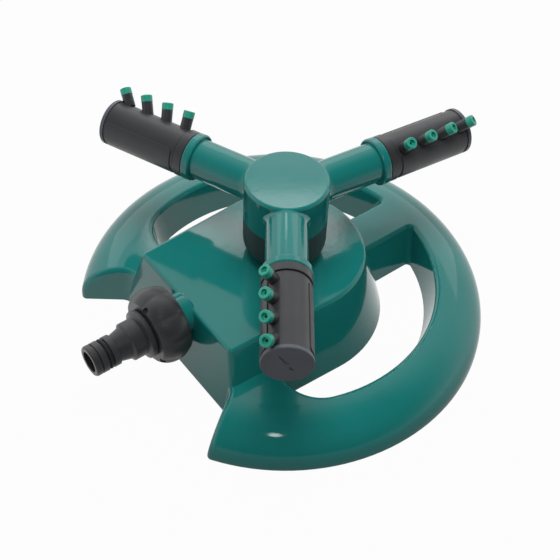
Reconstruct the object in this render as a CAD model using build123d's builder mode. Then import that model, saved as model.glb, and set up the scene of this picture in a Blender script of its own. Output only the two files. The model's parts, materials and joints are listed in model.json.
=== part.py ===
from build123d import *
import os
from math import acos, atan2, cos, radians, sin, sqrt, tan

# Three-arm rotating lawn sprinkler, in millimetres.
# The rotor turns about Z, the base stands on Z = 0 and the hose inlet points along -Y.

# Base moulding: an open ring, two webs and a spoke round a tall housing
ring_outer_radius = 108.5
ring_inner_radius = 82.0
ring_rim_width = 2.6
ring_foot_height = 2.0
deck_height = 20.8
gap_left_angle = 37.5
gap_right_angle = 34.7
gap_recess = 0.6
lug_edge_radius = 3.0
web_rear_offset = 41.0
spoke_half_width = 11.3
spoke_draft = 22.0
opening_draft = 11.0
web_corner_radius = 21.0
spoke_corner_radius = 2.5
opening_edge_radius = 2.4
housing_height = 41.2
housing_half_width = 39.3
housing_boss_radius = 42.4
housing_front_offset = 62.1
housing_side_draft = 16.0
housing_front_draft = 8.0
housing_corner_radius = 2.5
housing_edge_radius = 2.0
inner_corner_radius = 8.0
shell_wall = 2.5
rib_thickness = 1.8
rib_pitch = 20.0
rib_recess = 1.5

# Water inlet moulded into the base
inlet_drop = 8.0
inlet_bore_radius = 5.5
inlet_tube_wall = 2.2
thread_radius = 13.2
thread_clearance = 0.1
stub_length = 19.3
stub_neck_radius = 10.7
stub_back_length = 2.6
stub_back_rounding = 2.2
thread_lead = 0.8
well_radius = 9.2
well_wall = 2.5
well_floor_gap = 1.0

# Hose connector, one moulding: grip nut, shoulder and quick-connect nose
grip_radii = (17.0, 19.4, 19.9, 19.1, 16.3)
grip_lobe_radius = 12.0
grip_lobe_count = 9
grip_lobe_turn = 77.0
grip_valley_radius = 3.0
grip_notch_count = 3
grip_notch_turn = 57.0
grip_notch_radius = 1.7
grip_notch_inset = 0.9
thread_engagement = 12.8
grip_face_thickness = 1.7
washer_thickness = 2.0
washer_bore_radius = 6.5
step_ring_radius = 12.6
step_ring_length = 2.5
step_groove_radius = 11.4
step_groove_length = 0.8
shoulder_radius = 9.9
shoulder_length = 6.5
shoulder_cone_length = 1.0
neck_root_radius = 8.4
neck_radius = 6.8
neck_length = 6.6
nose_radius = 8.0
nose_length = 13.4
nose_tip_radius = 7.4
nose_tip_length = 0.8
lip_groove_offset = 3.0
lip_groove_length = 0.9
lip_groove_depth = 0.8
seal_groove_offset = 7.0
seal_groove_length = 3.2
seal_groove_depth = 1.4
nose_seal_section = 0.66

# Fixed stem that the rotor turns on
stem_radius = 8.0
stem_fit = 0.05
stem_flange_radius = 12.5
stem_flange_thickness = 1.2
stem_wall = 2.5
stem_shank_clearance = 0.05
stem_thread_step = 1.0
stem_tip_length = 1.5
stem_nut_radius = 13.5
stem_nut_flange = 1.2
stem_nut_thickness = 3.0
stem_nut_flats = 19.0
stem_seal_section = 0.75
seal_gap = 0.02

# Rotor: hub with three arms, closed below by the retaining cap
rotor_angle = -7.0
arm_count = 3
hub_radius = 21.3
hub_height = 23.0
hub_top_wall = 3.0
hub_edge_radius = 1.5
hub_chamber_radius = 15.3
cap_gap = 0.6
cap_height = 24.0
cap_bottom_rounding = 9.0
cap_floor = 3.0
cap_boss_radius = 11.0
bearing_length = 9.0
cap_thread_radius = 17.8
cap_thread_length = 4.0
gasket_thickness = 1.0
thrust_washer_thickness = 1.0
seal_washer_thickness = 1.2
washer_shaft_gap = 0.3
stem_nut_gap = 0.3
arm_radius = 10.3
arm_bore_radius = 6.6
arm_top_drop = 0.4
arm_length = 50.5
arm_root_reach = 1.1
arm_root_run = 5.1
arm_root_rise = 1.8
arm_root_clip = 0.1
arm_flange_radius = 12.4
arm_flange_length = 4.5
arm_flange_rounding = 1.0
arm_boss_length = 2.0
socket_wall = 2.25
socket_end_gap = 0.3

# Swivel: a lock collar on each arm holds the clip on the head's neck
collar_radius = 12.2
collar_length = 4.8
collar_edge_radius = 0.4
collar_step = 0.5
collar_lip_thickness = 1.1
collar_lip_gap = 0.3
swivel_gap = 0.4
swivel_fit = 0.05
swivel_neck_length = 16.2
swivel_neck_wall = 2.0
swivel_neck_chamfer = 0.5
swivel_groove_offset = 4.0
swivel_groove_depth = 1.0
clip_depth = 0.6
clip_room = 0.4
clip_play = 0.35
clip_split = 2.5

# Nozzle heads, each set to its own roll about its arm
head_rolls = (35.0, 42.0, 32.5)
head_radius = 12.0
head_wall = 1.8
head_end_wall = 2.0
nozzle_count = 4
nozzle_pitch = 11.6
first_nozzle_offset = 4.0
last_nozzle_margin = 3.7
nozzle_first_lean = 6.0
nozzle_lean_step = 11.0
nozzle_length = 8.3
nozzle_stub_radius = 2.85
nozzle_bore_radius = 1.7
tip_radius = 2.95
tip_length = 3.5
tip_fit = 0.05
tip_shank_length = 3.4
tip_hole_radius = 0.6
tip_mouth_radius = 1.6
tip_mouth_depth = 1.4
tip_edge_radius = 0.5
panel_height = 0.5
panel_end_margin = 1.4
panel_corner_radius = 2.0
panel_edge_radius = 0.3
panel_start_roll = 17.0
panel_sweep = 253.0
end_cap_thickness = 2.0
end_cap_plug_length = 2.2
end_cap_fit = 0.05
end_cap_edge_radius = 0.5
mark_length = 5.5
mark_offset = 4.2
short_mark_length = 2.6
short_mark_offset = 3.2
mark_width = 0.9
mark_depth = 0.4
gate_radius = 0.9
gate_height = 0.3

# Heights up the rotor axis
inlet_height = housing_height - inlet_drop
stem_flange_top = housing_height + stem_flange_thickness
cap_bottom = stem_flange_top + cap_gap
bearing_top = cap_bottom + bearing_length
thrust_washer_top = bearing_top + thrust_washer_thickness
seal_washer_top = thrust_washer_top + seal_washer_thickness
stem_nut_bottom = seal_washer_top + stem_nut_gap
stem_nut_top = stem_nut_bottom + stem_nut_thickness
stem_top = stem_nut_top + stem_tip_length
hub_bottom = cap_bottom + cap_height
hub_top = hub_bottom + hub_height
cap_thread_top = hub_bottom + cap_thread_length
gasket_top = cap_thread_top + gasket_thickness
cap_inside = cap_bottom + cap_floor
chamber_top = hub_top - hub_top_wall
arm_height = hub_top - arm_top_drop - arm_radius
well_bottom = inlet_height - inlet_bore_radius - well_floor_gap

# Stations along the inlet, measured out from the rotor axis
stub_end = housing_front_offset + stub_length
washer_end = stub_end + washer_thickness
grip_rear = stub_end - thread_engagement
thread_start = grip_rear - thread_lead
grip_front = washer_end + grip_face_thickness
step_groove_end = grip_front + step_groove_length
step_ring_end = step_groove_end + step_ring_length
shoulder_start = step_ring_end + shoulder_cone_length
shoulder_end = shoulder_start + shoulder_length
neck_start = shoulder_end + shoulder_cone_length
nose_start = neck_start + neck_length
nose_end = nose_start + nose_length
lip_groove_outer = nose_end - lip_groove_offset
seal_groove_outer = nose_end - seal_groove_offset

# Stations along each arm, measured out from the rotor axis
root_end = hub_radius + arm_root_reach
root_start = root_end - arm_root_run
flange_end = arm_length + arm_flange_length
boss_end = flange_end + arm_boss_length
collar_end = flange_end + collar_length
lip_start = collar_end - collar_lip_thickness
clip_start = boss_end + clip_play
clip_end = lip_start - clip_play
head_start = collar_end + swivel_gap
neck_tip = head_start - swivel_neck_length
socket_bottom = neck_tip - socket_end_gap
chamber_start = head_start + head_end_wall
first_nozzle = head_start + first_nozzle_offset
last_nozzle = first_nozzle + nozzle_pitch * (nozzle_count - 1)
head_end = last_nozzle + last_nozzle_margin
end_cap_end = head_end + end_cap_thickness

# Radii that fit one piece to the next
stem_bore_radius = stem_radius - stem_wall
stem_shank_radius = well_radius - stem_shank_clearance
stem_thread_radius = stem_radius - stem_thread_step
stem_seal_radius = stem_shank_radius + seal_gap + stem_seal_section
stem_seat_depth = 2 * (stem_seal_section + seal_gap)
cap_bore_radius = stem_radius + stem_fit
socket_radius = arm_radius - socket_wall
swivel_neck_radius = socket_radius - swivel_fit
neck_bore_radius = swivel_neck_radius - swivel_neck_wall
clip_seat_radius = swivel_neck_radius - clip_depth
clip_recess_radius = arm_radius - collar_step
clip_radius = clip_recess_radius - clip_room
swivel_groove_radius = swivel_neck_radius - swivel_groove_depth
swivel_seal_section = swivel_groove_depth / 2 - seal_gap
swivel_groove_length = 2 * (swivel_seal_section + seal_gap)
lip_groove_radius = nose_radius - lip_groove_depth
seal_groove_radius = nose_radius - seal_groove_depth
nose_grooves = (
    (lip_groove_outer - lip_groove_length, lip_groove_outer, lip_groove_radius),
    (seal_groove_outer - seal_groove_length, seal_groove_outer, seal_groove_radius),
)
arm_root_radius = arm_radius + arm_root_rise
head_body_radius = head_radius - panel_height
head_chamber_radius = head_radius - head_wall
stub_top = nozzle_length - tip_length
swivel_groove_start = neck_tip + swivel_groove_offset
swivel_groove_end = swivel_groove_start + swivel_groove_length
swivel_groove_middle = (swivel_groove_start + swivel_groove_end) / 2
neck_grooves = (
    (swivel_groove_start, swivel_groove_end, swivel_groove_radius),
    (clip_start, clip_end, clip_seat_radius),
)
arm_angles = [90 + rotor_angle + 360 / arm_count * index for index in range(arm_count)]

# The ring's crown is a quarter ellipse, level at the flat rim and upright at the foot
crown_start = ring_inner_radius + ring_rim_width
crown_rise = deck_height - ring_foot_height
crown_run = ring_outer_radius - crown_start

os.makedirs("parts", exist_ok=True)


def save(builder, name):
    """Label a finished piece and write it as one file."""
    builder.part.label = name
    export_step(builder.part, f"parts/{name}.step")


def axial_plane(angle, height, roll=0.0):
    """Plane whose X runs out along a level axis and whose Y is up, rolled clockwise from above."""
    along = Vector(cos(radians(angle)), sin(radians(angle)), 0)
    side = Vector(sin(radians(angle)), -cos(radians(angle)), 0)
    up = Vector(0, 0, 1) * cos(radians(roll)) + side * sin(radians(roll))
    return Plane(origin=(0, 0, height), x_dir=along, z_dir=along.cross(up))


def cross_plane(plane, station):
    """Plane square to another plane's X, at a station along it."""
    origin = plane.from_local_coords((station, 0, 0))
    return Plane(origin=origin, x_dir=plane.y_dir, z_dir=plane.x_dir)


def axis_of(plane):
    """Turning axis along a plane's own X."""
    return Axis(plane.origin, plane.x_dir)


def nozzle_planes(head):
    """Planes on a head's surface along its row of nozzles, each facing its own leaning jet."""
    planes = []
    for index in range(nozzle_count):
        lean = radians(nozzle_first_lean + nozzle_lean_step * index)
        foot = head.from_local_coords((first_nozzle + nozzle_pitch * index, head_radius, 0))
        jet = head.x_dir * sin(lean) + head.y_dir * cos(lean)
        planes.append(Plane(origin=foot, x_dir=head.z_dir, z_dir=jet))
    return planes


def axis_through(plane):
    """Axis square to a plane, through its origin."""
    return Axis(plane.origin, plane.z_dir)


def housing_outline(height, inset=0.0):
    """Horseshoe outline of the housing at a height, drawn in the active line block."""
    below_top = housing_height - height
    side_growth = below_top * tan(radians(housing_side_draft)) - inset
    front = housing_front_offset + below_top * tan(radians(housing_front_draft)) - inset
    half_width = housing_half_width + side_growth
    radius = housing_boss_radius + side_growth
    corner_angle = atan2(-front, half_width)
    touch_angle = corner_angle + acos(radius / sqrt(front**2 + half_width**2))
    touch_right = (radius * cos(touch_angle), radius * sin(touch_angle))
    touch_left = (-touch_right[0], touch_right[1])
    Polyline(touch_left, (-half_width, -front), (half_width, -front), touch_right)
    ThreePointArc(touch_right, (0, radius), touch_left)


def crown_section(inset=0.0):
    """Half section of the ring and the deck inside it, drawn in the active line block."""
    foot = (ring_outer_radius - inset, ring_foot_height)
    Polyline((crown_start, deck_height - inset), (0, deck_height - inset), (0, 0), (foot[0], 0), foot)
    EllipticalCenterArc((crown_start, ring_foot_height), crown_run - inset, crown_rise - inset, arc_size=90)


def gap_plan(growth=0.0):
    """Plan of the inlet gap at the ground, drawn in the active sketch."""
    housing_foot = housing_front_offset + housing_height * tan(radians(housing_front_draft))
    inner_y = gap_recess + growth - housing_foot
    outer_y = -2 * ring_outer_radius
    run = deck_height * tan(radians(housing_front_draft)) - growth
    right, left = [
        [-y * tan(radians(angle)) - run / cos(radians(angle)) for y in (inner_y, outer_y)]
        for angle in (gap_right_angle, gap_left_angle)
    ]
    with BuildLine() as gap:
        Polyline(
            (-left[0], inner_y), (-left[1], outer_y), (right[1], outer_y), (right[0], inner_y), close=True
        )
    make_face(gap.edges())
    fillet(vertices().group_by(Axis.Y)[-1], radius=inner_corner_radius + growth)


def kidney_openings(growth=0.0):
    """Both kidney openings through the deck, each between ring, web and spoke."""
    reach = 2 * ring_inner_radius
    ring = ring_inner_radius + growth
    spoke = spoke_half_width - growth
    web = -web_rear_offset - growth
    run = deck_height * tan(radians(opening_draft))
    spoke_run = deck_height * tan(radians(spoke_draft))
    with BuildPart() as pair:
        Cone(ring - run, ring, deck_height, align=(Align.CENTER, Align.CENTER, Align.MIN))
        with BuildSketch(Plane.XZ):
            with BuildLine():
                Polyline(
                    (spoke + spoke_run, 0), (reach, 0), (reach, deck_height), (spoke, deck_height), close=True
                )
            make_face()
        extrude(amount=reach, both=True, mode=Mode.INTERSECT)
        with BuildSketch(Plane.YZ):
            with BuildLine():
                Polyline((web + run, 0), (reach, 0), (reach, deck_height), (web, deck_height), close=True)
            make_face()
        extrude(amount=reach, mode=Mode.INTERSECT)
        corners = edges().filter_by(lambda e: 0.1 < e.center().Z / deck_height < 0.9)
        web_corner = corners.sort_by(Axis.X)[-1]
        fillet(web_corner, radius=web_corner_radius + growth)
        corners = edges().filter_by(lambda e: 0.1 < e.center().Z / deck_height < 0.9)
        spoke_corners = corners.filter_by(lambda e: e.center().X < ring_inner_radius / 2)
        fillet(spoke_corners, radius=spoke_corner_radius + growth)
        mirror(about=Plane.YZ)
    return pair.part


def grip_outline(crest_radius):
    """Lobed outline of the grip about the inlet's axis, drawn in the active sketch."""
    with Locations((0, inlet_height)):
        Circle(crest_radius - grip_lobe_radius / 3)
        with PolarLocations(crest_radius - grip_lobe_radius, grip_lobe_count, start_angle=grip_lobe_turn):
            Circle(grip_lobe_radius)
    fillet(vertices(), radius=grip_valley_radius)


# Base housing, filleted before it joins the deck
with BuildPart() as housing:
    with BuildSketch():
        with BuildLine():
            housing_outline(0)
        make_face()
    with BuildSketch(Plane.XY.offset(housing_height)):
        with BuildLine():
            housing_outline(housing_height)
        make_face()
    loft(ruled=True)
    uprights = edges().filter_by(lambda e: 0.1 < e.center().Z / housing_height < 0.9)
    front_corners = uprights.sort_by(Axis.Y)[:2]
    fillet(front_corners, radius=housing_corner_radius)
    fillet(edges().group_by(Axis.Z)[-1], radius=housing_edge_radius)

# Space under the deck, kept clear of the openings' walls
with BuildPart() as deck_hollow:
    with BuildSketch(Plane.XZ):
        with BuildLine():
            crown_section(inset=shell_wall)
        make_face()
    revolve(axis=Axis.Z)
    with BuildSketch():
        gap_plan(growth=shell_wall)
    extrude(amount=deck_height, taper=-housing_front_draft, mode=Mode.SUBTRACT)
    add(kidney_openings(growth=shell_wall), mode=Mode.SUBTRACT)

# Space under the housing joined to it, then divided by ribs
with BuildPart() as hollow:
    housing_ceiling = housing_height - shell_wall
    with BuildSketch():
        with BuildLine():
            housing_outline(0, inset=shell_wall)
        make_face()
    with BuildSketch(Plane.XY.offset(housing_ceiling)):
        with BuildLine():
            housing_outline(housing_ceiling, inset=shell_wall)
        make_face()
    loft(ruled=True)
    add(deck_hollow.part)
    rib_count = 2 * round(housing_half_width / rib_pitch) + 1
    ring_rib_radius = (ring_inner_radius + ring_outer_radius) / 2
    web_rib_radius = ring_rib_radius - rib_pitch
    with BuildSketch(Plane.XY.offset(rib_recess)):
        for radius in (ring_rib_radius, web_rib_radius):
            Circle(radius + rib_thickness / 2)
            Circle(radius - rib_thickness / 2, mode=Mode.SUBTRACT)
        Rectangle(rib_thickness, 2 * ring_inner_radius)
        with GridLocations(rib_pitch, rib_pitch, rib_count, 1):
            Rectangle(rib_thickness, 2 * housing_front_offset)
    extrude(amount=housing_height, mode=Mode.SUBTRACT)

inlet = axial_plane(-90, inlet_height)
inlet_axis = axis_of(inlet)

# Base moulding in one piece
with BuildPart() as base_shell:
    with BuildSketch(Plane.XZ):
        with BuildLine():
            crown_section()
        make_face()
    revolve(axis=Axis.Z)
    with BuildSketch():
        gap_plan()
    extrude(amount=deck_height, taper=-housing_front_draft, mode=Mode.SUBTRACT)
    lug_faces = faces(Select.LAST).filter_by(lambda f: abs(f.normal_at().X) > 0.6)
    fillet(lug_faces.edges().filter_by(lambda e: (e @ 0.5).Z > 0.55 * deck_height), radius=lug_edge_radius)
    add(kidney_openings(), mode=Mode.SUBTRACT)
    deck_edges = edges(Select.LAST).filter_by_position(Axis.Z, deck_height - 0.01, deck_height + 0.01)
    fillet(deck_edges, radius=opening_edge_radius)
    add(housing.part)
    add(hollow.part, mode=Mode.SUBTRACT)
    with BuildSketch(inlet):
        with BuildLine():
            stub_back = housing_front_offset - stub_back_length
            rounding_end = stub_back + stub_back_rounding
            shoulder_height = stub_neck_radius - stub_back_rounding
            Polyline(
                (rounding_end, stub_neck_radius), (thread_start, stub_neck_radius),
                (thread_start, thread_radius), (stub_end, thread_radius), (stub_end, 0),
                (stub_back, 0), (stub_back, shoulder_height),
            )
            TangentArc((stub_back, shoulder_height), (rounding_end, stub_neck_radius), tangent=(0, 1))
        make_face()
    revolve(axis=inlet_axis)
    with Locations((0, 0, well_bottom - well_wall)):
        Cylinder(
            well_radius + well_wall, housing_height - well_bottom + well_wall,
            align=(Align.CENTER, Align.CENTER, Align.MIN),
        )
    with BuildSketch(Plane.XZ):
        with Locations((0, inlet_height)):
            Circle(inlet_bore_radius + inlet_tube_wall)
    extrude(amount=stub_back)
    with BuildSketch(Plane.XZ):
        with Locations((0, inlet_height)):
            Circle(inlet_bore_radius)
    extrude(amount=stub_end, mode=Mode.SUBTRACT)
    with BuildSketch(Plane.XY.offset(well_bottom)):
        Circle(well_radius)
    extrude(amount=housing_height, mode=Mode.SUBTRACT)
    with BuildSketch(Plane.XY.offset(housing_height - stem_seat_depth)):
        Circle(stem_seal_radius + stem_seal_section + seal_gap)
    extrude(amount=stem_seat_depth, mode=Mode.SUBTRACT)
save(base_shell, "base_shell")

# Stem fixed in the base's well, open to the inlet through a side port
with BuildPart() as stem:
    with BuildSketch(Plane.XZ):
        with BuildLine():
            Polyline(
                (stem_bore_radius, well_bottom), (stem_shank_radius, well_bottom),
                (stem_shank_radius, housing_height), (stem_flange_radius, housing_height),
                (stem_flange_radius, stem_flange_top), (stem_radius, stem_flange_top),
                (stem_radius, stem_nut_bottom), (stem_thread_radius, stem_nut_bottom),
                (stem_thread_radius, stem_top), (stem_bore_radius, stem_top), close=True,
            )
        make_face()
    revolve(axis=Axis.Z)
    with BuildSketch(Plane.XZ):
        with Locations((0, inlet_height)):
            Circle(inlet_bore_radius)
    extrude(amount=well_radius, mode=Mode.SUBTRACT)
save(stem, "stem")

# Sealing ring round the stem, under its flange
with BuildPart() as stem_o_ring:
    with Locations((0, 0, housing_height - stem_seat_depth / 2)):
        Torus(stem_seal_radius, stem_seal_section)
save(stem_o_ring, "stem_o_ring")

# Flanged nut that keeps the rotor on the stem
with BuildPart() as stem_nut:
    with BuildSketch(Plane.XY.offset(stem_nut_bottom)):
        Circle(stem_nut_radius)
    extrude(amount=stem_nut_flange)
    with BuildSketch(Plane.XY.offset(stem_nut_bottom)):
        RegularPolygon(stem_nut_flats / 2, 6, major_radius=False)
    extrude(amount=stem_nut_thickness)
    with BuildSketch(Plane.XY.offset(stem_nut_bottom)):
        Circle(stem_thread_radius + thread_clearance)
    extrude(amount=stem_nut_thickness, mode=Mode.SUBTRACT)
save(stem_nut, "stem_nut")

# Hose connector screwed on the inlet
with BuildPart() as hose_connector:
    for index, crest_radius in enumerate(grip_radii):
        station = grip_rear + (grip_front - grip_rear) * index / (len(grip_radii) - 1)
        with BuildSketch(Plane.XZ.offset(station)):
            grip_outline(crest_radius)
    loft()
    notch_radius = grip_radii[-1]
    with Locations(Plane(origin=(0, grip_notch_inset - grip_front, inlet_height), z_dir=(0, -1, 0))):
        with PolarLocations(notch_radius, grip_notch_count, start_angle=grip_notch_turn):
            Sphere(grip_notch_radius, mode=Mode.SUBTRACT)
    with BuildSketch(inlet):
        with BuildLine():
            Polyline(
                (washer_end, 0), (washer_end, step_groove_radius), (step_groove_end, step_groove_radius),
                (step_groove_end, step_ring_radius), (step_ring_end, step_ring_radius),
                (shoulder_start, shoulder_radius), (shoulder_end, shoulder_radius),
                (neck_start, neck_root_radius), (nose_start, neck_radius), (nose_start, nose_radius),
                (nose_end - nose_tip_length, nose_radius), (nose_end, nose_tip_radius), (nose_end, 0),
                close=True,
            )
        make_face()
    revolve(axis=inlet_axis)
    with BuildSketch(inlet):
        with BuildLine():
            Polyline(
                (grip_rear, 0), (grip_rear, thread_radius + thread_clearance),
                (washer_end, thread_radius + thread_clearance), (washer_end, inlet_bore_radius),
                (nose_end, inlet_bore_radius), (nose_end, 0), close=True,
            )
        make_face()
        for start, end, floor in nose_grooves:
            with BuildLine() as groove:
                Polyline(
                    (start, floor), (end, floor), (end, shoulder_radius), (start, shoulder_radius), close=True
                )
            make_face(groove.edges())
    revolve(axis=inlet_axis, mode=Mode.SUBTRACT)
save(hose_connector, "hose_connector")

# Flat washer between the inlet's end and the connector
with BuildPart() as connector_washer:
    with BuildSketch(Plane.XZ.offset(stub_end)):
        with Locations((0, inlet_height)):
            Circle(thread_radius)
            Circle(washer_bore_radius, mode=Mode.SUBTRACT)
    extrude(amount=washer_thickness)
save(connector_washer, "connector_washer")

# Sealing ring in the nose's wide groove
with BuildPart() as connector_o_ring:
    seal_station = seal_groove_outer - seal_groove_length / 2
    with BuildSketch(inlet):
        with Locations((seal_station, seal_groove_radius + seal_gap + nose_seal_section)):
            Circle(nose_seal_section)
    revolve(axis=inlet_axis)
save(connector_o_ring, "connector_o_ring")

# Arms with roots that flare into the hub's wall, cut level just under the hub's top
with BuildPart() as arms:
    for angle in arm_angles:
        arm = axial_plane(angle, arm_height)
        with BuildSketch(arm):
            with BuildLine():
                Polyline(
                    (root_end, arm_radius), (arm_length, arm_radius), (arm_length, arm_flange_radius),
                    (flange_end, arm_flange_radius), (flange_end, arm_radius), (boss_end, arm_radius),
                    (boss_end, 0), (0, 0), (0, arm_root_radius), (root_start, arm_root_radius),
                )
                TangentArc((root_end, arm_radius), (root_start, arm_root_radius), tangent=(-1, 0))
            make_face()
            flange_rim = vertices().group_by(Axis.Y)[-1]
            fillet(flange_rim, radius=arm_flange_rounding)
        revolve(axis=axis_of(arm))
    with BuildSketch(Plane.XY.offset(hub_top - arm_root_clip)):
        Circle(root_end)
    extrude(amount=arm_root_radius, mode=Mode.SUBTRACT)

# Rotor hub with its arms, bored for water
with BuildPart() as manifold:
    with Locations((0, 0, hub_bottom)):
        Cylinder(hub_radius, hub_height, align=(Align.CENTER, Align.CENTER, Align.MIN))
    fillet(edges().group_by(Axis.Z)[-1], radius=hub_edge_radius)
    add(arms.part)
    with BuildSketch(Plane.XY.offset(hub_bottom)):
        Circle(cap_thread_radius + thread_clearance)
    extrude(amount=gasket_top - hub_bottom, mode=Mode.SUBTRACT)
    with BuildSketch(Plane.XY.offset(hub_bottom)):
        Circle(hub_chamber_radius)
    extrude(amount=chamber_top - hub_bottom, mode=Mode.SUBTRACT)
    for angle in arm_angles:
        arm = axial_plane(angle, arm_height)
        with BuildSketch(arm):
            with BuildLine():
                Polyline(
                    (0, 0), (0, arm_bore_radius), (socket_bottom, arm_bore_radius),
                    (socket_bottom, socket_radius), (boss_end, socket_radius), (boss_end, 0), close=True,
                )
            make_face()
        revolve(axis=axis_of(arm), mode=Mode.SUBTRACT)
save(manifold, "manifold")

# Retaining cap screwed into the hub, with the rotor's bearing in its floor
with BuildPart() as retaining_cap:
    with BuildSketch(Plane.XZ):
        with BuildLine():
            cap_foot_radius = hub_radius - cap_bottom_rounding
            cap_side_start = cap_bottom + cap_bottom_rounding
            Polyline(
                (hub_radius, cap_side_start), (hub_radius, hub_bottom), (cap_thread_radius, hub_bottom),
                (cap_thread_radius, cap_thread_top), (hub_chamber_radius, cap_thread_top),
                (hub_chamber_radius, cap_inside), (cap_boss_radius, cap_inside),
                (cap_boss_radius, bearing_top), (cap_bore_radius, bearing_top),
                (cap_bore_radius, cap_bottom), (cap_foot_radius, cap_bottom),
            )
            TangentArc((cap_foot_radius, cap_bottom), (hub_radius, cap_side_start), tangent=(1, 0))
        make_face()
    revolve(axis=Axis.Z)
save(retaining_cap, "retaining_cap")


def flat_ring(bottom, thickness, outer_radius, inner_radius):
    """Ring standing on a level plane, made in the active part block."""
    with BuildSketch(Plane.XY.offset(bottom)) as ring:
        Circle(outer_radius)
        Circle(inner_radius, mode=Mode.SUBTRACT)
    extrude(ring.sketch, amount=thickness)


# Gasket between cap and hub
with BuildPart() as hub_gasket:
    flat_ring(cap_thread_top, gasket_thickness, cap_thread_radius, hub_chamber_radius)
save(hub_gasket, "hub_gasket")

# Slippery washer on the bearing, and the sealing washer that the nut runs over
with BuildPart() as thrust_washer:
    flat_ring(bearing_top, thrust_washer_thickness, cap_boss_radius, stem_radius + washer_shaft_gap)
save(thrust_washer, "thrust_washer")

with BuildPart() as seal_washer:
    flat_ring(thrust_washer_top, seal_washer_thickness, stem_nut_radius, stem_radius + washer_shaft_gap)
save(seal_washer, "seal_washer")

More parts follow.
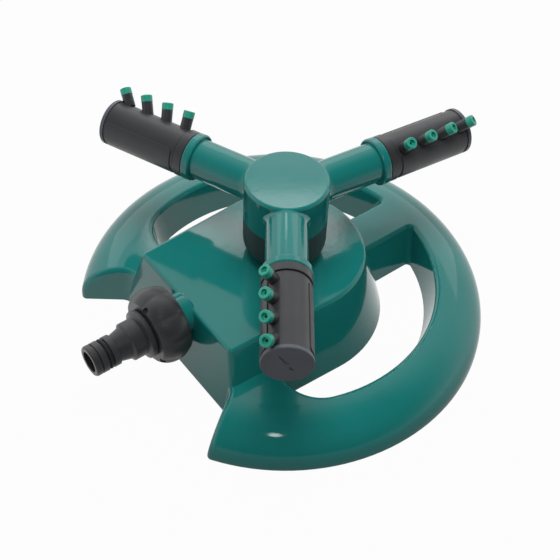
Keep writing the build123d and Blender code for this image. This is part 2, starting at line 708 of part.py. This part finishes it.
for index, angle in enumerate(arm_angles):
    number = index + 1
    arm = axial_plane(angle, arm_height)
    head = axial_plane(angle, arm_height, head_rolls[index])
    arm_axis = axis_of(arm)

    # Lock collar screwed on the arm's boss
    with BuildPart() as lock_collar:
        with BuildSketch(arm):
            with BuildLine():
                Polyline(
                    (flange_end, arm_radius + thread_clearance), (flange_end, collar_radius),
                    (collar_end, collar_radius), (collar_end, swivel_neck_radius + collar_lip_gap),
                    (lip_start, swivel_neck_radius + collar_lip_gap), (lip_start, clip_recess_radius),
                    (boss_end, clip_recess_radius), (boss_end, arm_radius + thread_clearance), close=True,
                )
            make_face()
            fillet(vertices().group_by(Axis.Y)[-1], radius=collar_edge_radius)
        revolve(axis=arm_axis)
    save(lock_collar, f"lock_collar_{number}")

    # Nozzle head: neck, chamber, raised panel and the row of stubs
    with BuildPart() as nozzle_head:
        with BuildSketch(head):
            with BuildLine():
                Polyline(
                    (neck_tip, 0), (neck_tip, swivel_neck_radius - swivel_neck_chamfer),
                    (neck_tip + swivel_neck_chamfer, swivel_neck_radius), (head_start, swivel_neck_radius),
                    (head_start, head_body_radius), (head_end, head_body_radius), (head_end, 0), close=True,
                )
            make_face()
        revolve(axis=arm_axis)
        panel = axial_plane(angle, arm_height, head_rolls[index] + panel_start_roll)
        with BuildSketch(panel):
            with BuildLine():
                Polyline(
                    (head_start + panel_end_margin, head_chamber_radius),
                    (head_start + panel_end_margin, head_radius),
                    (head_end - panel_end_margin, head_radius),
                    (head_end - panel_end_margin, head_chamber_radius), close=True,
                )
            make_face()
        revolve(axis=arm_axis, revolution_arc=panel_sweep)
        short_edges = edges().filter_by(lambda e: abs(e.length - panel_height) < 0.01)
        fillet(short_edges, radius=panel_corner_radius)
        round_faces = faces().filter_by(GeomType.CYLINDER)
        panel_face = round_faces.filter_by(lambda f: abs(f.radius - head_radius) < 0.01)
        fillet(panel_face.edges(), radius=panel_edge_radius)
        for spot in nozzle_planes(head):
            with BuildSketch(spot.offset(-head_wall)):
                Circle(nozzle_stub_radius)
            extrude(amount=head_wall + stub_top)
        with BuildSketch(head):
            with BuildLine():
                Polyline(
                    (neck_tip, 0), (neck_tip, neck_bore_radius), (chamber_start, neck_bore_radius),
                    (chamber_start, head_chamber_radius), (head_end, head_chamber_radius), (head_end, 0),
                    close=True,
                )
            make_face()
            for start, end, floor in neck_grooves:
                with BuildLine() as groove:
                    Polyline(
                        (start, floor), (end, floor), (end, arm_radius), (start, arm_radius), close=True
                    )
                make_face(groove.edges())
        revolve(axis=arm_axis, mode=Mode.SUBTRACT)
        for spot in nozzle_planes(head):
            with BuildSketch(spot.offset(stub_top)):
                Circle(nozzle_bore_radius)
            extrude(amount=-stub_top - 2 * head_wall, mode=Mode.SUBTRACT)
    save(nozzle_head, f"nozzle_head_{number}")

    # Green jet tip pushed into each stub
    for tip_index, spot in enumerate(nozzle_planes(head)):
        with BuildPart() as nozzle_tip:
            with BuildSketch(spot.offset(stub_top)):
                Circle(tip_radius)
            extrude(amount=tip_length)
            fillet(edges().sort_by(axis_through(spot))[-1], radius=tip_edge_radius)
            with BuildSketch(spot.offset(stub_top)):
                Circle(nozzle_bore_radius - tip_fit)
            extrude(amount=-tip_shank_length)
            with BuildSketch(spot.offset(nozzle_length)):
                Circle(tip_mouth_radius)
            extrude(amount=-tip_mouth_depth, mode=Mode.SUBTRACT)
            with BuildSketch(spot.offset(nozzle_length)):
                Circle(tip_hole_radius)
            extrude(amount=-tip_length - tip_shank_length, mode=Mode.SUBTRACT)
        save(nozzle_tip, f"nozzle_tip_{number}_{tip_index + 1}")

    # Cap that closes the head's outer end
    with BuildPart() as end_cap:
        with BuildSketch(head):
            with BuildLine():
                plug_radius = head_chamber_radius - end_cap_fit
                Polyline(
                    (head_end - end_cap_plug_length, 0), (head_end - end_cap_plug_length, plug_radius),
                    (head_end, plug_radius), (head_end, head_radius), (end_cap_end, head_radius),
                    (end_cap_end, gate_radius), (end_cap_end + gate_height, gate_radius),
                    (end_cap_end + gate_height, 0), close=True,
                )
            make_face()
        revolve(axis=arm_axis)
        rims = edges().filter_by(GeomType.CIRCLE).filter_by(lambda e: abs(e.radius - head_radius) < 0.01)
        fillet(rims.sort_by(arm_axis)[-1], radius=end_cap_edge_radius)
        with BuildSketch(cross_plane(head, end_cap_end)):
            with Locations((mark_offset, 0)):
                SlotOverall(mark_length, mark_width)
            with Locations((-short_mark_offset, 0)):
                SlotOverall(short_mark_length, mark_width)
        extrude(amount=-mark_depth, mode=Mode.SUBTRACT)
    save(end_cap, f"end_cap_{number}")

    # Sealing ring in the neck's inner groove
    with BuildPart() as swivel_o_ring:
        with BuildSketch(head):
            with Locations((swivel_groove_middle, swivel_groove_radius + seal_gap + swivel_seal_section)):
                Circle(swivel_seal_section)
        revolve(axis=arm_axis)
    save(swivel_o_ring, f"swivel_o_ring_{number}")

    # Split clip in the neck's outer groove, held behind the collar's lip
    with BuildPart() as head_clip:
        with BuildSketch(cross_plane(head, clip_start)):
            Circle(clip_radius)
            Circle(clip_seat_radius + seal_gap, mode=Mode.SUBTRACT)
            Rectangle(2 * clip_radius, clip_split, align=(Align.MAX, Align.CENTER), mode=Mode.SUBTRACT)
        extrude(amount=clip_end - clip_start)
    save(head_clip, f"head_clip_{number}")
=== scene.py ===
import json
from math import cos, radians, sin

import bmesh
import bpy
from bpy.props import FloatProperty, FloatVectorProperty, PointerProperty
from mathutils import Matrix, Vector


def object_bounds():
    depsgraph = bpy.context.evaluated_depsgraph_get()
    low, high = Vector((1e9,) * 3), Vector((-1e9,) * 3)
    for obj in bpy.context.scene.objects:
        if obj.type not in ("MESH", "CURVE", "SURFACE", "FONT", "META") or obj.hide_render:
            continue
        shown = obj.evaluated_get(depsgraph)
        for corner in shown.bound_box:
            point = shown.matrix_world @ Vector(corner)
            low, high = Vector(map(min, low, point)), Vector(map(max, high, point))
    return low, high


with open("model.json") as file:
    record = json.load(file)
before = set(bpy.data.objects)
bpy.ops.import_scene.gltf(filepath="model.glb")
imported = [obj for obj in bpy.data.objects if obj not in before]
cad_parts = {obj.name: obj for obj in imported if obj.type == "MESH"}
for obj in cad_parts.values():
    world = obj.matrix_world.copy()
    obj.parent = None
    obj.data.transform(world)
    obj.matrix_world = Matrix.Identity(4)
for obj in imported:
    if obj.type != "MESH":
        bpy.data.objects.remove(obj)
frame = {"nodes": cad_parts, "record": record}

bl_info = {
    "name": "Lawn sprinkler dressing",
    "version": (1, 0, 0),
    "blender": (4, 5, 0),
    "location": "3D View > Sidebar > Sprinkler",
    "description": "Finishes a three-arm lawn sprinkler and sets up its studio",
    "category": "Object",
}

CAD_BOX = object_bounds()
NODES = frame["nodes"]
SLOTS = {part["node"]: part["material_slot"] for part in frame["record"]["subparts"]}

# Range that nearly all values of a noise pattern fall in
NOISE_LOW = 0.3
NOISE_HIGH = 0.7

# What all the plastics share: pattern scales per metre, drift of the gloss, refraction
CLOUD_SCALE = 28
GLOSS_SCALE = 90
GLOSS_DRIFT = 0.15
PLASTIC_IOR = 1.5

# Stage, in metres
GROUND = CAD_BOX[0][2]
FLOOR_RADIUS = 4.0
FLOOR_DROP = 0.0002
TENT_RADIUS = 3.6
CLOTH_LIFT = 0.0005
SHEET_SEGMENTS = 96
FILL_HEIGHT = 1.0
LAMP_AIM = Vector((0, 0, 0.05))

# Floor as it lights the object, and the share of plain white in it as it is seen
FLOOR_GREY = (0.3, 0.3, 0.3, 1)
FLOOR_WHITE = 0.97

# Cloth, and the cosines from its middle at which it starts to show and is at its darkest
CLOTH_BLACK = (0.02, 0.02, 0.022, 1)
CLOTH_START = 0.1
CLOTH_FULL = 0.75

# Width that the lens is given for, in millimetres
SENSOR_WIDTH = 36


class SprinklerFinishes(bpy.types.PropertyGroup):
    """Colours and surface finish of the pieces."""
    green: FloatVectorProperty(
        name="Green", description="Colour of the base and rotor plastic",
        subtype="COLOR", default=(0.009, 0.165, 0.152), min=0, max=1)
    green_roughness: FloatProperty(
        name="Green roughness", description="How far the green plastic blurs reflections",
        subtype="FACTOR", default=0.08, min=0, max=1)
    tip_green: FloatVectorProperty(
        name="Tip green", description="Colour of the jet tips",
        subtype="COLOR", default=(0.018, 0.285, 0.205), min=0, max=1)
    tip_roughness: FloatProperty(
        name="Tip roughness", description="How far the jet tips blur reflections",
        subtype="FACTOR", default=0.26, min=0, max=1)
    black: FloatVectorProperty(
        name="Black", description="Colour of the heads and the hose connector",
        subtype="COLOR", default=(0.028, 0.029, 0.032), min=0, max=1)
    cap_grey: FloatVectorProperty(
        name="Cap grey", description="Colour of the discs that close the heads",
        subtype="COLOR", default=(0.075, 0.082, 0.100), min=0, max=1)
    black_roughness: FloatProperty(
        name="Black roughness", description="How far the black plastic blurs reflections",
        subtype="FACTOR", default=0.38, min=0, max=1)
    rubber: FloatVectorProperty(
        name="Rubber", description="Colour of the sealing rings, gasket and washers",
        subtype="COLOR", default=(0.016, 0.016, 0.017), min=0, max=1)
    washer_white: FloatVectorProperty(
        name="Washer white", description="Colour of the slippery washer",
        subtype="COLOR", default=(0.78, 0.77, 0.73), min=0, max=1)
    steel: FloatVectorProperty(
        name="Steel", description="Colour of the clips on the heads' necks",
        subtype="COLOR", default=(0.52, 0.52, 0.51), min=0, max=1)


class SprinklerStudio(bpy.types.PropertyGroup):
    """Camera place and studio light."""
    azimuth: FloatProperty(
        name="Azimuth", description="Camera's turn about the upright axis, from the inlet's side",
        subtype="ANGLE", default=radians(50.95))
    elevation: FloatProperty(
        name="Elevation", description="Camera's height angle",
        subtype="ANGLE", default=radians(48.36))
    roll: FloatProperty(
        name="Roll", description="Camera's turn about its own line of sight",
        subtype="ANGLE", default=radians(2.74))
    distance: FloatProperty(
        name="Distance", description="From the aim point to the camera",
        unit="LENGTH", default=0.6041)
    aim: FloatVectorProperty(
        name="Aim", description="Point the camera looks at",
        subtype="XYZ", unit="LENGTH", default=(-0.0070, 0.0042, 0.0072))
    lens: FloatProperty(
        name="Lens", description="Focal length in millimetres on a 36 mm sensor",
        default=70.98, min=1)
    back_power: FloatProperty(
        name="Back power", description="Watts of the wide softbox behind the object",
        default=4.1, min=0)
    window_power: FloatProperty(
        name="Window power", description="Watts of the narrow softbox over the wide one",
        default=0.85, min=0)
    fill_power: FloatProperty(
        name="Fill power", description="Watts of the overhead softbox",
        default=6.5, min=0)
    spot_power: FloatProperty(
        name="Spot power", description="Watts of the small softbox above the camera",
        default=0.26, min=0)
    ambient: FloatProperty(
        name="Ambient", description="Strength of the room's even light",
        default=0.44, min=0)


def socket(node, key, value):
    """Set an input of a shader node, given by its name or number, to one value."""
    node.inputs[key].default_value = value


def new_material(name):
    """New material, its node tree and its principled shader."""
    material = bpy.data.materials.new(name)
    material.use_nodes = True
    tree = material.node_tree
    return material, tree, tree.nodes["Principled BSDF"]


def noise(tree, scale, detail):
    """Noise pattern fixed to the piece, in its own coordinates."""
    place = tree.nodes.new("ShaderNodeTexCoord")
    pattern = tree.nodes.new("ShaderNodeTexNoise")
    socket(pattern, "Scale", scale)
    socket(pattern, "Detail", detail)
    tree.links.new(place.outputs["Object"], pattern.inputs["Vector"])
    return pattern.outputs["Fac"]


def spread(tree, factor, low, high):
    """Map a noise pattern onto a range of values."""
    ranger = tree.nodes.new("ShaderNodeMapRange")
    socket(ranger, "From Min", NOISE_LOW)
    socket(ranger, "From Max", NOISE_HIGH)
    socket(ranger, "To Min", low)
    socket(ranger, "To Max", high)
    tree.links.new(factor, ranger.inputs["Value"])
    return ranger.outputs["Result"]


def tint(tree, factor, dark, light):
    """Mix two near colours by a pattern."""
    mixer = tree.nodes.new("ShaderNodeMix")
    mixer.data_type = "RGBA"
    socket(mixer, "A", (*dark, 1))
    socket(mixer, "B", (*light, 1))
    tree.links.new(factor, mixer.inputs["Factor"])
    return mixer.outputs["Result"]


def bump(tree, shader, factor, height):
    """Raise a pattern from the surface by a height in metres."""
    lift = tree.nodes.new("ShaderNodeBump")
    socket(lift, "Strength", 1.0)
    socket(lift, "Distance", height)
    tree.links.new(factor, lift.inputs["Height"])
    tree.links.new(lift.outputs["Normal"], shader.inputs["Normal"])


def moulded_plastic(name, colour, roughness, shade, grain_scale, grain_height):
    """Moulded plastic with drifting shade, uneven gloss and a fine grain."""
    material, tree, shader = new_material(name)
    darker = [channel * (1 - shade) for channel in colour]
    lighter = [channel * (1 + shade) for channel in colour]
    cloud = spread(tree, noise(tree, CLOUD_SCALE, detail=3), low=0, high=1)
    tree.links.new(tint(tree, cloud, darker, lighter), shader.inputs["Base Color"])
    smoother = roughness * (1 - GLOSS_DRIFT)
    rougher = roughness * (1 + GLOSS_DRIFT)
    gloss = spread(tree, noise(tree, GLOSS_SCALE, detail=4), smoother, rougher)
    tree.links.new(gloss, shader.inputs["Roughness"])
    bump(tree, shader, noise(tree, grain_scale, detail=2), grain_height)
    socket(shader, "IOR", PLASTIC_IOR)
    return material


def dress(slot, material, prefix=""):
    """Give every piece of a slot its material, or those whose name starts with a prefix."""
    for name, node in NODES.items():
        if SLOTS[name] == slot and name.startswith(prefix):
            node.data.materials.clear()
            node.data.materials.append(material)


class SPRINKLER_OT_green_mouldings(bpy.types.Operator):
    """Finish the base and the rotor in glossy green"""
    bl_idname = "sprinkler.green_mouldings"
    bl_label = "Finish the green mouldings"

    def execute(self, context):
        finishes = context.scene.sprinkler_finishes
        material = moulded_plastic(
            "green_gloss_plastic", finishes.green, finishes.green_roughness,
            shade=0.05, grain_scale=260, grain_height=0.000012)
        dress("green_plastic", material)
        return {"FINISHED"}


class SPRINKLER_OT_black_mouldings(bpy.types.Operator):
    """Finish the heads, collars, cap and hose connector in satin black, the end discs paler"""
    bl_idname = "sprinkler.black_mouldings"
    bl_label = "Finish the black mouldings"

    def execute(self, context):
        finishes = context.scene.sprinkler_finishes
        material = moulded_plastic(
            "black_satin_plastic", finishes.black, finishes.black_roughness,
            shade=0.12, grain_scale=1500, grain_height=0.00002)
        dress("black_plastic", material)
        disc = moulded_plastic(
            "grey_disc_plastic", finishes.cap_grey, finishes.black_roughness,
            shade=0.08, grain_scale=1500, grain_height=0.00002)
        dress("black_plastic", disc, prefix="end_cap")
        return {"FINISHED"}


class SPRINKLER_OT_jet_tips(bpy.types.Operator):
    """Finish the jet tips in satin green"""
    bl_idname = "sprinkler.jet_tips"
    bl_label = "Finish the jet tips"

    def execute(self, context):
        finishes = context.scene.sprinkler_finishes
        material = moulded_plastic(
            "green_tip_plastic", finishes.tip_green, finishes.tip_roughness,
            shade=0.05, grain_scale=900, grain_height=0.00001)
        dress("green_tip_plastic", material)
        return {"FINISHED"}


class SPRINKLER_OT_seals(bpy.types.Operator):
    """Finish the sealing rings, gasket and washers in matte rubber"""
    bl_idname = "sprinkler.seals"
    bl_label = "Finish the seals"

    def execute(self, context):
        finishes = context.scene.sprinkler_finishes
        material, tree, shader = new_material("matte_rubber")
        dullness = spread(tree, noise(tree, scale=160, detail=3), low=0.62, high=0.78)
        tree.links.new(dullness, shader.inputs["Roughness"])
        bump(tree, shader, noise(tree, scale=2600, detail=2), height=0.00002)
        socket(shader, "Base Color", (*finishes.rubber, 1))
        dress("black_rubber", material)
        return {"FINISHED"}


class SPRINKLER_OT_bearing_hardware(bpy.types.Operator):
    """Finish the slippery washer and the steel clips"""
    bl_idname = "sprinkler.bearing_hardware"
    bl_label = "Finish the bearing hardware"

    def execute(self, context):
        finishes = context.scene.sprinkler_finishes
        washer = moulded_plastic(
            "white_washer_plastic", finishes.washer_white, roughness=0.35,
            shade=0.03, grain_scale=900, grain_height=0.00001)
        dress("white_plastic", washer)
        steel, tree, shader = new_material("spring_steel")
        polish = spread(tree, noise(tree, scale=700, detail=3), low=0.22, high=0.36)
        tree.links.new(polish, shader.inputs["Roughness"])
        socket(shader, "Base Color", (*finishes.steel, 1))
        socket(shader, "Metallic", 1.0)
        dress("steel", steel)
        return {"FINISHED"}


def direction(turn, height):
    """Unit vector into the room, by its turn from the inlet's side and its height angle."""
    return Vector((cos(height) * sin(turn), -cos(height) * cos(turn), sin(height)))


def room_point(studio, turn, height, distance=1.0):
    """Point in the room, by its turn from the camera and its height angle, both in degrees."""
    return direction(studio.azimuth + radians(turn), radians(height)) * distance


def larger(tree, first, second):
    """Larger of two values."""
    node = tree.nodes.new("ShaderNodeMath")
    node.operation = "MAXIMUM"
    tree.links.new(first, node.inputs[0])
    tree.links.new(second, node.inputs[1])
    return node.outputs[0]


def seen_directly(tree):
    """1 on rays that show a background: from the camera, mirrored or refracted."""
    path = tree.nodes.new("ShaderNodeLightPath")
    shown = larger(tree, path.outputs["Is Camera Ray"], path.outputs["Is Glossy Ray"])
    return larger(tree, shown, path.outputs["Is Transmission Ray"])


def mix_surfaces(tree, factor, first, second):
    """Surface that goes from the first shader to the second as the factor goes from 0 to 1."""
    blend = tree.nodes.new("ShaderNodeMixShader")
    tree.links.new(factor, blend.inputs["Fac"])
    tree.links.new(first.outputs[0], blend.inputs[1])
    tree.links.new(second.outputs[0], blend.inputs[2])
    tree.links.new(blend.outputs[0], tree.nodes["Material Output"].inputs["Surface"])


def white_room(ambient):
    """White surroundings that give an even, weaker light of their own."""
    world = bpy.data.worlds.new("white_room")
    world.use_nodes = True
    tree = world.node_tree
    background = tree.nodes["Background"]
    shown = tree.nodes.new("ShaderNodeMapRange")
    socket(shown, "To Min", ambient)
    socket(shown, "To Max", 1.0)
    tree.links.new(seen_directly(tree), shown.inputs["Value"])
    tree.links.new(shown.outputs["Result"], background.inputs["Strength"])
    socket(background, "Color", (1, 1, 1, 1))
    bpy.context.scene.world = world


def stage_piece(name, form, material):
    """Piece of the stage made from a bmesh, which is freed."""
    mesh = bpy.data.meshes.new(name)
    form.to_mesh(mesh)
    form.free()
    mesh.materials.append(material)
    piece = bpy.data.objects.new(name, mesh)
    bpy.context.scene.collection.objects.link(piece)
    return piece


def round_sheet(radius, height):
    """Level round sheet as a bmesh."""
    form = bmesh.new()
    bmesh.ops.create_circle(
        form, cap_ends=True, segments=SHEET_SEGMENTS, radius=radius,
        matrix=Matrix.Translation((0, 0, height)))
    return form


def pale_floor():
    """Wide white sheet that keeps a soft shadow."""
    material, tree, shader = new_material("white_paper")
    socket(shader, "Base Color", FLOOR_GREY)
    socket(shader, "Roughness", 0.9)
    white = tree.nodes.new("ShaderNodeEmission")
    share = tree.nodes.new("ShaderNodeMath")
    share.operation = "MULTIPLY"
    tree.links.new(seen_directly(tree), share.inputs[0])
    socket(share, 1, FLOOR_WHITE)
    mix_surfaces(tree, share.outputs[0], shader, white)
    stage_piece("floor", round_sheet(FLOOR_RADIUS, GROUND - FLOOR_DROP), material)


def faded_cloth(name, middle, depth):
    """Dark cloth about one direction that fades into the white room away from it."""
    material, tree, shader = new_material(name)
    socket(shader, "Base Color", CLOTH_BLACK)
    socket(shader, "Roughness", 0.95)
    place = tree.nodes.new("ShaderNodeTexCoord")
    outward = tree.nodes.new("ShaderNodeVectorMath")
    outward.operation = "NORMALIZE"
    nearness = tree.nodes.new("ShaderNodeVectorMath")
    nearness.operation = "DOT_PRODUCT"
    socket(nearness, 1, middle)
    fade = tree.nodes.new("ShaderNodeMapRange")
    fade.interpolation_type = "SMOOTHSTEP"
    socket(fade, "From Min", CLOTH_START)
    socket(fade, "From Max", CLOTH_FULL)
    socket(fade, "To Max", depth)
    tree.links.new(place.outputs["Object"], outward.inputs[0])
    tree.links.new(outward.outputs["Vector"], nearness.inputs[0])
    tree.links.new(nearness.outputs["Value"], fade.inputs["Value"])
    white = tree.nodes.new("ShaderNodeEmission")
    mix_surfaces(tree, fade.outputs["Result"], white, shader)
    return material


def reflected_card(name, form, material):
    """Piece of the stage that shows in reflections only."""
    card = stage_piece(name, form, material)
    card.visible_camera = False
    card.visible_diffuse = False
    card.visible_shadow = False


def dark_tent(middle):
    """Tent over the stage, dark on the camera's side and overhead, on a grey ground cloth."""
    level = GROUND + CLOTH_LIFT
    dome = bmesh.new()
    bmesh.ops.create_uvsphere(dome, u_segments=64, v_segments=32, radius=TENT_RADIUS)
    bmesh.ops.bisect_plane(
        dome, geom=dome.verts[:] + dome.edges[:] + dome.faces[:],
        plane_co=(0, 0, level), plane_no=(0, 0, 1), clear_inner=True)
    reflected_card("tent", dome, faded_cloth("dark_cloth", middle, depth=1.0))
    ground = round_sheet(TENT_RADIUS, level)
    reflected_card("ground_cloth", ground, faded_cloth("grey_cloth", middle, depth=0.74))


def softbox(name, place, size, power):
    """Rectangular area lamp that faces the object."""
    lamp = bpy.data.lights.new(name, "AREA")
    lamp.shape = "RECTANGLE"
    lamp.size, lamp.size_y = size
    lamp.energy = power
    holder = bpy.data.objects.new(name, lamp)
    holder.location = place
    holder.rotation_euler = (LAMP_AIM - place).to_track_quat("-Z", "Y").to_euler()
    bpy.context.scene.collection.objects.link(holder)
    return holder


def lamps(studio):
    """Two softboxes behind the object, a small one above the camera and a fill overhead."""
    softbox(
        "back_softbox", room_point(studio, turn=180, height=31, distance=1.5),
        size=(2.2, 0.75), power=studio.back_power)
    softbox(
        "window_softbox", room_point(studio, turn=183.5, height=46.3, distance=3.03),
        size=(0.63, 0.12), power=studio.window_power)
    small = softbox(
        "small_softbox", room_point(studio, turn=0, height=56, distance=1.0),
        size=(0.07, 0.14), power=studio.spot_power)
    small.data.shape = "ELLIPSE"
    fill = softbox(
        "fill_softbox", Vector((0, 0, FILL_HEIGHT)), size=(0.5, 0.5), power=studio.fill_power)
    fill.visible_glossy = False


def camera_matrix(studio):
    """Place of a camera that looks at the aim point, rolled about its own sight line."""
    back = direction(studio.azimuth, studio.elevation)
    right = Vector((cos(studio.azimuth), sin(studio.azimuth), 0))
    up = back.cross(right)
    turned_right = right * cos(studio.roll) + up * sin(studio.roll)
    turned_up = up * cos(studio.roll) - right * sin(studio.roll)
    matrix = Matrix((turned_right, turned_up, back)).transposed().to_4x4()
    matrix.translation = Vector(studio.aim) + back * studio.distance
    return matrix


def photo_camera(studio):
    """Camera of the main picture."""
    camera = bpy.data.cameras.new("camera")
    camera.lens = studio.lens
    camera.sensor_width = SENSOR_WIDTH
    camera.clip_start = 0.01
    holder = bpy.data.objects.new("camera", camera)
    holder.matrix_world = camera_matrix(studio)
    bpy.context.scene.collection.objects.link(holder)
    bpy.context.scene.camera = holder


class SPRINKLER_OT_studio(bpy.types.Operator):
    """Set up the floor, the soft light and the camera"""
    bl_idname = "sprinkler.studio"
    bl_label = "Set up the studio"

    def execute(self, context):
        studio = context.scene.sprinkler_studio
        pale_floor()
        white_room(studio.ambient)
        dark_tent(room_point(studio, turn=15, height=45))
        lamps(studio)
        photo_camera(studio)
        context.scene.view_settings.view_transform = "Standard"
        return {"FINISHED"}


class SPRINKLER_PT_panel(bpy.types.Panel):
    """Sidebar list of the steps and their values"""
    bl_idname = "SPRINKLER_PT_panel"
    bl_label = "Sprinkler"
    bl_space_type = "VIEW_3D"
    bl_region_type = "UI"
    bl_category = "Sprinkler"

    def draw(self, context):
        for step in STEPS:
            self.layout.operator(step.bl_idname)
        for group in (context.scene.sprinkler_finishes, context.scene.sprinkler_studio):
            for name in group.__annotations__:
                self.layout.prop(group, name)


STEPS = (
    SPRINKLER_OT_green_mouldings,
    SPRINKLER_OT_black_mouldings,
    SPRINKLER_OT_jet_tips,
    SPRINKLER_OT_seals,
    SPRINKLER_OT_bearing_hardware,
    SPRINKLER_OT_studio,
)
CLASSES = (SprinklerFinishes, SprinklerStudio, *STEPS, SPRINKLER_PT_panel)


def register():
    for item in CLASSES:
        bpy.utils.register_class(item)
    bpy.types.Scene.sprinkler_finishes = PointerProperty(type=SprinklerFinishes)
    bpy.types.Scene.sprinkler_studio = PointerProperty(type=SprinklerStudio)


def unregister():
    del bpy.types.Scene.sprinkler_studio
    del bpy.types.Scene.sprinkler_finishes
    for item in reversed(CLASSES):
        bpy.utils.unregister_class(item)


def main():
    register()
    bpy.ops.sprinkler.green_mouldings()
    bpy.ops.sprinkler.black_mouldings()
    bpy.ops.sprinkler.jet_tips()
    bpy.ops.sprinkler.seals()
    bpy.ops.sprinkler.bearing_hardware()
    bpy.ops.sprinkler.studio()


if __name__ == "__main__":
    main()
